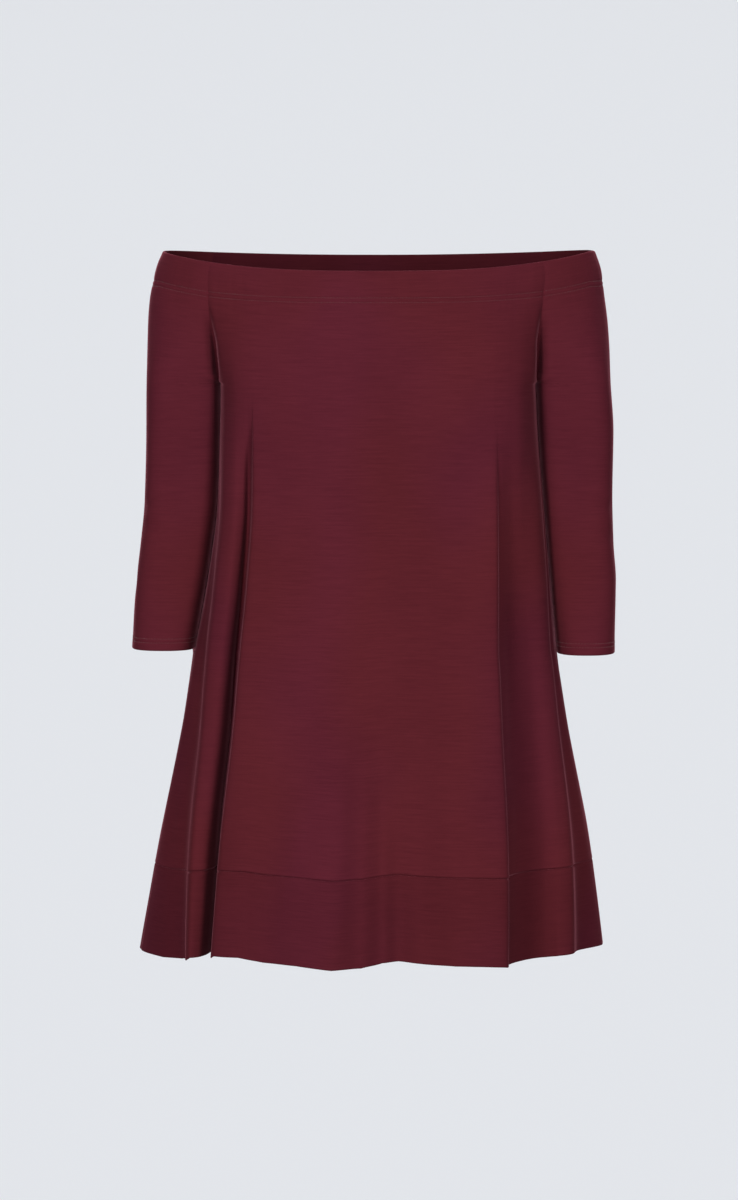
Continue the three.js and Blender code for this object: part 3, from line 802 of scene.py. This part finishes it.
# %% Grids of the panels and the hem band
grids = {
    "front_panel": panel_grid(True, 3.1),
    "back_panel": panel_grid(False, 11.7),
    "hem_band_front": band_grid(True, 3.1),
    "hem_band_back": band_grid(False, 11.7),
}
for node, grid in grids.items():
    print(node, "has", grid["x"].shape[0], "rows of", grid["x"].shape[1], "points")

# %% Creases and grids of the sleeves
# A crease goes from u0, v0 to u1, v1: u runs round the sleeve from its outer edge, and v down it.
CREASES_AT_LEFT = table(
    "u0 v0 u1 v1 width depth",
    (-60, 246, -18, 262, 7, 1.6),
    (-64, 272, -22, 280, 8, 1.8),
    (18, 258, 66, 244, 8, 1.6),
    (24, 282, 60, 276, 7, 1.2),
    (-30, 330, 20, 345, 10, 0.9),
)
CREASES_AT_RIGHT = table(
    "u0 v0 u1 v1 width depth",
    (-74, 96, -57, 85, 2.2, 1.0),  # two small ones beside the armhole
    (-74, 102, -60, 94, 2.2, 0.8),
    (20, 250, 62, 240, 7, 1.5),
    (22, 280, 66, 272, 8, 1.7),
    (-64, 250, -20, 262, 8, 1.4),
    (-60, 284, -22, 292, 7, 1.3),
    (-20, 335, 28, 348, 10, 0.9),
)
grids["sleeve_right"], closed_right = sleeve_grid(SLEEVE_AT_LEFT, -1, CREASES_AT_LEFT, 21.3)
grids["sleeve_left"], closed_left = sleeve_grid(SLEEVE_AT_RIGHT, 1, CREASES_AT_RIGHT, 33.9)
print("a sleeve is a closed tube from row", closed_left)


# %% Sew the armholes
def sew(first, first_column, second, second_column):
    """Bring the edges of two pieces together along the open part of the armhole."""
    for row in range(len(upper_drops) - 1):
        a, b = (row, first_column), (row, second_column)
        outer = {key: (first[key][a] + first["n" + key][a] * first["out"][a]
                       + second[key][b] + second["n" + key][b] * second["out"][b]) / 2
                 for key in "xy"}
        nx, ny = (first[key][a] + second[key][b] for key in ("nx", "ny"))
        length = math.hypot(nx, ny)
        for grid, at in ((first, a), (second, b)):
            grid["nx"][at], grid["ny"][at] = nx / length, ny / length
            grid["x"][at] = outer["x"] - nx / length * grid["out"][at]
            grid["y"][at] = outer["y"] - ny / length * grid["out"][at]


for side, sleeve in ((0, "sleeve_right"), (-1, "sleeve_left")):
    sew(grids["front_panel"], side, grids[sleeve], 0)
    sew(grids["back_panel"], side, grids[sleeve], -1)
print("armhole rows sewn:", len(upper_drops) - 1)

# %% Turn the grids into cloth
pieces = {
    "front_panel": shell("front", grids["front_panel"]),
    "back_panel": shell("back", grids["back_panel"], flip=True),
    "hem_band_front": shell("front_hem_band", grids["hem_band_front"]),
    "hem_band_back": shell("back_hem_band", grids["hem_band_back"], flip=True),
    "sleeve_right": shell("right_sleeve", grids["sleeve_right"], closed_right, flip=True),
    "sleeve_left": shell("left_sleeve", grids["sleeve_left"], closed_left),
}

# %% [markdown]
# ## Twin-needle stitches
# The casing and the cuffs are held by two rows of straight stitches. Each stitch is a short thread
# with round ends that dips into the cloth. They are real geometry, joined into one mesh for each
# row of sewing, so that they catch light as thread does.

# %% One stitch, copied along a line
STITCH_LENGTH = 2.5
STITCH_PITCH = 3.0
THREAD = 0.34
THREAD_SIDES = 6
# Along the stitch: where, how thick, and how far it rises out of the cloth.
STITCH_PROFILE = ((-0.5, 0.25, -0.2), (-0.32, 0.9, 0.05), (0, 1, 0.12), (0.32, 0.9, 0.05),
                  (0.5, 0.25, -0.2))


def stitch_line(points, normals):
    """Vertices and faces of stitches along a polyline on the cloth."""
    step = np.linalg.norm(np.diff(points, axis=0), axis=1)
    run = np.concatenate([[0], np.cumsum(step)])
    verts, faces = [], []
    for start in np.arange(1.5, run[-1] - STITCH_PITCH, STITCH_PITCH):
        base = len(verts)
        for along, thick, rise in STITCH_PROFILE:
            at = start + (along + 0.5) * STITCH_LENGTH
            p = np.array([np.interp(at, run, points[:, k]) for k in range(3)])
            n = np.array([np.interp(at, run, normals[:, k]) for k in range(3)])
            q = np.array([np.interp(at + 0.2, run, points[:, k]) for k in range(3)])
            way = (q - p) / np.linalg.norm(q - p)
            n /= np.linalg.norm(n)
            side = np.cross(way, n)
            for corner in range(THREAD_SIDES):
                a = corner * 2 * math.pi / THREAD_SIDES
                offset = n * (math.sin(a) * THREAD * thick * 0.6 + rise)
                verts.append(p + offset + side * math.cos(a) * THREAD * thick)
        for ring in range(base, len(verts) - THREAD_SIDES, THREAD_SIDES):
            for k in range(THREAD_SIDES):
                a, b = ring + k, ring + (k + 1) % THREAD_SIDES
                faces.append((a, b, b + THREAD_SIDES, a + THREAD_SIDES))
        faces.append(tuple(base + k for k in reversed(range(THREAD_SIDES))))
        faces.append(tuple(range(len(verts) - THREAD_SIDES, len(verts))))
    return verts, faces


# %% Stitches along rows of cloth
def row_on_cloth(grid, row):
    """Points and normals of one row of a grid, on its right side."""
    p = np.stack([grid["x"][row] + grid["nx"][row] * grid["out"][row],
                  grid["y"][row] + grid["ny"][row] * grid["out"][row], grid["z"][row]], axis=-1)
    n = np.stack([grid["nx"][row], grid["ny"][row], 0 * grid["nx"][row]], axis=-1)
    return p, n


def stitches(name, rows):
    verts, faces = [], []
    for points, normals in rows:
        v, f = stitch_line(points, normals)
        faces += [tuple(i + len(verts) for i in face) for face in f]
        verts += v
    mesh = bpy.data.meshes.new(name)
    mesh.from_pydata((np.array(verts) * MM).tolist(), [], faces)
    mesh.shade_smooth()
    piece = bpy.data.objects.new(name, mesh)
    bpy.context.scene.collection.objects.link(piece)
    print(f"{name}: {len(faces)} faces")
    return piece


# %% Sew the casing and the cuffs
casing_rows = [int(np.argmin(np.abs(upper_drops - line))) for line in TWIN_LINES]
sewing = {}
for node in ("front_panel", "back_panel", "sleeve_right", "sleeve_left"):
    rows = [row_on_cloth(grids[node], row) for row in casing_rows]
    sewing[node] = stitches(pieces[node].name + "_neck_stitches", rows)
cuff_sewing = {}
for node, columns in (("sleeve_right", SLEEVE_AT_LEFT), ("sleeve_left", SLEEVE_AT_RIGHT)):
    heights = grids[node]["z"][:, 0]
    found = [int(np.argmin(np.abs(heights - columns["z"][-1] - line))) for line in CUFF_LINES]
    rows = [row_on_cloth(grids[node], row) for row in found]
    cuff_sewing[node] = stitches(pieces[node].name + "_cuff_stitches", rows)

# %% [markdown]
# ## A small language for shaders
# A material is a graph of nodes. Written as node calls it is long, so one class wraps a socket and
# lets ordinary expressions add Math nodes. Colours and vectors go through Mix and Vector Math, and
# any other node comes from the one method that takes its type, its settings and its sockets.


# %% Wrap a socket
class Wire:
    def __init__(self, tree, socket):
        self.tree = tree
        self.socket = socket

    def node(self, kind, settings=(), sockets=(), output=0):
        made = self.tree.nodes.new(kind)
        for key, value in dict(settings).items():
            setattr(made, key, value)
        for key, value in dict(sockets).items():
            if isinstance(value, Wire):
                self.tree.links.new(value.socket, made.inputs[key])
            else:
                made.inputs[key].default_value = value
        return Wire(self.tree, made.outputs[output])

    def math(self, operation, other, swapped=False):
        pair = (other, self) if swapped else (self, other)
        return self.node("ShaderNodeMath", {"operation": operation}, {0: pair[0], 1: pair[1]})

    def __add__(self, other):
        return self.math("ADD", other)

    __radd__ = __add__

    def __sub__(self, other):
        return self.math("SUBTRACT", other)

    def __rsub__(self, other):
        return self.math("SUBTRACT", other, True)

    def __mul__(self, other):
        return self.math("MULTIPLY", other)

    __rmul__ = __mul__

    def tint(self, low, high):
        """Mix two colours by this value."""
        return self.node("ShaderNodeMix", {"data_type": "RGBA"},
                         {0: self, 6: (*low, 1), 7: (*high, 1)}, 2)

    def blend(self, low, high):
        """Mix two coloured wires by this value."""
        return self.node("ShaderNodeMix", {"data_type": "RGBA"}, {0: self, 6: low, 7: high}, 2)

    def stretched(self, along, down):
        return self.node("ShaderNodeVectorMath", {"operation": "MULTIPLY"},
                         {0: self, 1: (along, down, 1)})

    def noise(self, scale, detail=2.0, roughness=0.5):
        return self.node("ShaderNodeTexNoise", {"noise_dimensions": "2D"},
                         {"Vector": self, "Scale": scale, "Detail": detail,
                          "Roughness": roughness})


def new_material(name):
    material = bpy.data.materials.new(name)
    material.use_nodes = True
    tree = material.node_tree
    shader = tree.nodes["Principled BSDF"]
    return material, tree, shader


def plug(tree, shader, name, value):
    """Link a wire, or set a plain value, on one of the shader's own sockets."""
    if isinstance(value, Wire):
        tree.links.new(value.socket, shader.inputs[name])
    else:
        shader.inputs[name].default_value = value


# %% [markdown]
# ## Burgundy jersey
# Fine viscose jersey has faint slubs that run across it, a knit too small to see from a step away,
# and a soft sheen where it turns from the eye. The slubs are noise stretched along the rows of the
# knit. They tint the colour a little and raise the surface a little. The band looks slightly
# deeper, because its cloth is doubled. The wrong side is duller than the right side, and its
# colour is darker still as painted shade.

# %% Colours of the jersey
CLOTH_LIGHT = (0.088, 0.0136, 0.0186)
CLOTH_DARK = (0.054, 0.0080, 0.0116)
COOLER = (0.96, 0.95, 1.16)
SHEEN_TINT = (1.0, 0.34, 0.44, 1.0)


def times(colour, factors):
    return tuple(c * k for c, k in zip(colour, factors))


# %% The jersey material
def jersey(name, light, dark, sheen, seed):
    material, tree, shader = new_material(name)
    cloth = Wire(tree, None).node("ShaderNodeUVMap", {"uv_map": "cloth"})
    slub = cloth.stretched(24 + seed, 620).noise(1.0, 3.0, 0.6)
    thread = cloth.stretched(90, 1500 + seed).noise(1.0, 2.0, 0.5)
    mottle = cloth.stretched(9, 7).noise(1.0 + seed * 0.01, 2.0, 0.5)
    wale = cloth.node("ShaderNodeTexWave", {"wave_type": "BANDS", "bands_direction": "X"},
                      {"Vector": cloth, "Scale": 260.0, "Distortion": 0.6, "Detail": 1.0}, 1)
    course = cloth.node("ShaderNodeTexWave", {"wave_type": "BANDS", "bands_direction": "Y"},
                        {"Vector": cloth, "Scale": 330.0, "Distortion": 0.6, "Detail": 1.0}, 1)
    knit = wale * 0.6 + course * 0.4
    shade = slub * 0.75 + thread * 0.35 + mottle * 0.5 + knit * 0.12 - 0.38
    warm = shade.tint(dark, light)
    cool = shade.tint(times(dark, COOLER), times(light, COOLER))
    patches = cloth.stretched(7, 4).noise(1.0, 1.0, 0.5) * 3 - 1
    plug(tree, shader, "Base Color", patches.blend(warm, cool))
    plug(tree, shader, "Roughness", 0.66 + slub * 0.18)
    height = slub * 0.55 + thread * 0.35 + knit * 0.35
    bump = cloth.node("ShaderNodeBump", {}, {"Strength": 0.28, "Distance": 0.0004,
                                             "Height": height})
    plug(tree, shader, "Normal", bump)
    plug(tree, shader, "Specular IOR Level", 0.0)
    plug(tree, shader, "Sheen Weight", sheen)
    plug(tree, shader, "Sheen Roughness", 0.30)
    plug(tree, shader, "Sheen Tint", SHEEN_TINT)
    return material


# %% The thread
def thread_material():
    material, tree, shader = new_material("burgundy_thread")
    place = Wire(tree, None).node("ShaderNodeTexCoord", output="Object")
    twist = place.node("ShaderNodeTexNoise", {}, {"Vector": place, "Scale": 900.0})
    plug(tree, shader, "Base Color", twist.tint((0.055, 0.008, 0.012), (0.10, 0.018, 0.024)))
    plug(tree, shader, "Roughness", 0.5 + twist * 0.1)
    plug(tree, shader, "Specular IOR Level", 0.1)
    plug(tree, shader, "Sheen Weight", 0.1)
    return material


# %% Make the four materials
BAND_SHADE = (0.90,) * 3
# The wrong side's colours are scaled by this: partly because jersey is duller there, partly as
# painted shade for the dark inside of the dress.
WRONG_SIDE_DULLING_AND_PAINTED_SHADE = (0.72,) * 3
jersey_cloth = jersey("burgundy_jersey", CLOTH_LIGHT, CLOTH_DARK, 0.30, 0)
band_cloth = jersey("burgundy_jersey_band", times(CLOTH_LIGHT, BAND_SHADE),
                    times(CLOTH_DARK, BAND_SHADE), 0.30, 3)
# The wrong side's material: duller jersey, with painted shade darkening its colour.
wrong_side_with_painted_shade = jersey("burgundy_jersey_reverse_with_painted_shade", times(CLOTH_LIGHT, WRONG_SIDE_DULLING_AND_PAINTED_SHADE),
                    times(CLOTH_DARK, WRONG_SIDE_DULLING_AND_PAINTED_SHADE), 0.24, 5)
thread = thread_material()
for material in (jersey_cloth, band_cloth, wrong_side_with_painted_shade, thread):
    print(material.name, "has", len(material.node_tree.nodes), "nodes")

# %% [markdown]
# ## Cloth for each piece
# Each piece gets its two sides of cloth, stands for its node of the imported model, and rides on
# the one body, because a dress has no joint.

# %% Give each piece its cloth, its node and its body
for node, piece in pieces.items():
    is_band = node.startswith("hem_band")
    piece.data.materials[RIGHT_SIDE] = band_cloth if is_band else jersey_cloth
    # The inner faces get the wrong side's material, whose darker colour is partly painted shade.
    piece.data.materials[WRONG_SIDE] = wrong_side_with_painted_shade
    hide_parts(node)
    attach(piece, "root")
for piece in [*sewing.values(), *cuff_sewing.values()]:
    piece.data.materials.append(thread)
    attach(piece, "root")

# %% [markdown]
# ## The pieces as they hang
# The points of each grid are moved out along its normals to the right side of the cloth, as the
# piece hangs.

# %% Points of the pieces as they hang
for node, grid in grids.items():
    x, y, z = (grid[key] + grid.get("n" + key, 0) * grid["out"] for key in "xyz")

# %% [markdown]
# ## Floor, light and camera
# A worn dress hangs well above the floor. The floor is so wide, with a rising rim, that no horizon
# shows. A broad soft sun lights it evenly. Five soft boxes light the cloth alone: three in front,
# spread so that the deep folds stay dark, and two behind, whose light grazes the sleeves and the
# fold edges. The camera looks down a little from 7 m away with a long lens, as the photograph does.

# %% Floor
FLOOR_LEVEL = -1.32
FLAT_RADIUS = 60.0
RIM_RADIUS = 400.0
RIM_RISE = 7.0
WALL_RADIUS = 800.0
WALL_RISE = 140.0
SIDES = 96
ring = [(radius * math.cos(k * 2 * math.pi / SIDES), radius * math.sin(k * 2 * math.pi / SIDES),
         rise)
        for radius, rise in ((FLAT_RADIUS, 0), (RIM_RADIUS, RIM_RISE), (WALL_RADIUS, WALL_RISE))
        for k in range(SIDES)]
sweep = [(r + k, r + SIDES + k, r + SIDES + (k + 1) % SIDES, r + (k + 1) % SIDES)
         for r in (0, SIDES) for k in range(SIDES)]
floor_mesh = bpy.data.meshes.new("floor")
floor_mesh.from_pydata(ring, [], [tuple(range(SIDES)), *sweep])
floor_mesh.shade_smooth()
floor = bpy.data.objects.new("floor", floor_mesh)
floor.location.z = FLOOR_LEVEL
bpy.context.scene.collection.objects.link(floor)
floor_paint, tree, shader = new_material("pale_floor")
plug(tree, shader, "Base Color", (0.86, 0.88, 0.92, 1))
plug(tree, shader, "Roughness", 0.9)
floor.data.materials.append(floor_paint)
floor.visible_diffuse = False  # no light bounces from it to the cloth
print(f"floor is {HEM * MM - FLOOR_LEVEL:.3f} m below the hem")

# %% The pale surround
world = bpy.data.worlds.new("pale_studio")
bpy.context.scene.world = world
world.use_nodes = True
background = world.node_tree.nodes["Background"]
background.inputs["Color"].default_value = (0.93, 0.96, 1, 1)
background.inputs["Strength"].default_value = 0.12
bpy.context.scene.view_settings.view_transform = "Standard"
print("surround:", world.name)

# %% Soft boxes that light the cloth alone
cloth_only = bpy.data.collections.new("cloth_only")
for piece in [*pieces.values(), *sewing.values(), *cuff_sewing.values()]:
    cloth_only.objects.link(piece)


def soft_box(name, place, target, size, power):
    lamp = bpy.data.lights.new(name, "AREA")
    lamp.shape = "RECTANGLE"
    lamp.size, lamp.size_y = size
    lamp.energy = power
    box = bpy.data.objects.new(name, lamp)
    box.location = place
    box.rotation_euler = (Vector(target) - Vector(place)).to_track_quat("-Z", "Y").to_euler()
    box.light_linking.receiver_collection = cloth_only
    bpy.context.scene.collection.objects.link(box)


MIDDLE = (0, 0, -0.35)
soft_box("front_box", (-0.2, -3.6, 0.3), MIDDLE, (1.2, 2.2), 38)
soft_box("left_front_box", (-1.6, -3.3, 0.4), MIDDLE, (0.9, 2.4), 98)
soft_box("right_front_box", (1.6, -3.3, 0.4), MIDDLE, (0.9, 2.4), 84)
soft_box("left_rim_box", (-2.7, 1.1, 0.2), MIDDLE, (0.6, 2.4), 14)
soft_box("right_rim_box", (2.7, 1.1, 0.2), MIDDLE, (0.6, 2.4), 14)

# %% A broad soft sun
sun = bpy.data.lights.new("overhead", "SUN")
sun.energy = 2.68
sun.angle = math.radians(40)
overhead = bpy.data.objects.new("overhead", sun)
overhead.rotation_euler = (math.radians(-24), 0, 0)
bpy.context.scene.collection.objects.link(overhead)

# %% Camera
CAMERA_DISTANCE = 7.0
CAMERA_ELEVATION = math.radians(5)
FRAME_HEIGHT = 1.26
SENSOR = 36.0
AIM = Vector((-0.0053, 0, -0.337))
lens = bpy.data.cameras.new("camera")
lens.sensor_fit = "VERTICAL"
lens.sensor_height = SENSOR
lens.lens = SENSOR * CAMERA_DISTANCE / FRAME_HEIGHT
lens.clip_end = 2000
camera = bpy.data.objects.new("camera", lens)
camera.location = AIM + CAMERA_DISTANCE * Vector(
    (0, -math.cos(CAMERA_ELEVATION), math.sin(CAMERA_ELEVATION)))
camera.rotation_euler = (AIM - camera.location).to_track_quat("-Z", "Y").to_euler()
bpy.context.scene.collection.objects.link(camera)
bpy.context.scene.camera = camera
print("lens", round(lens.lens, 1), "mm")
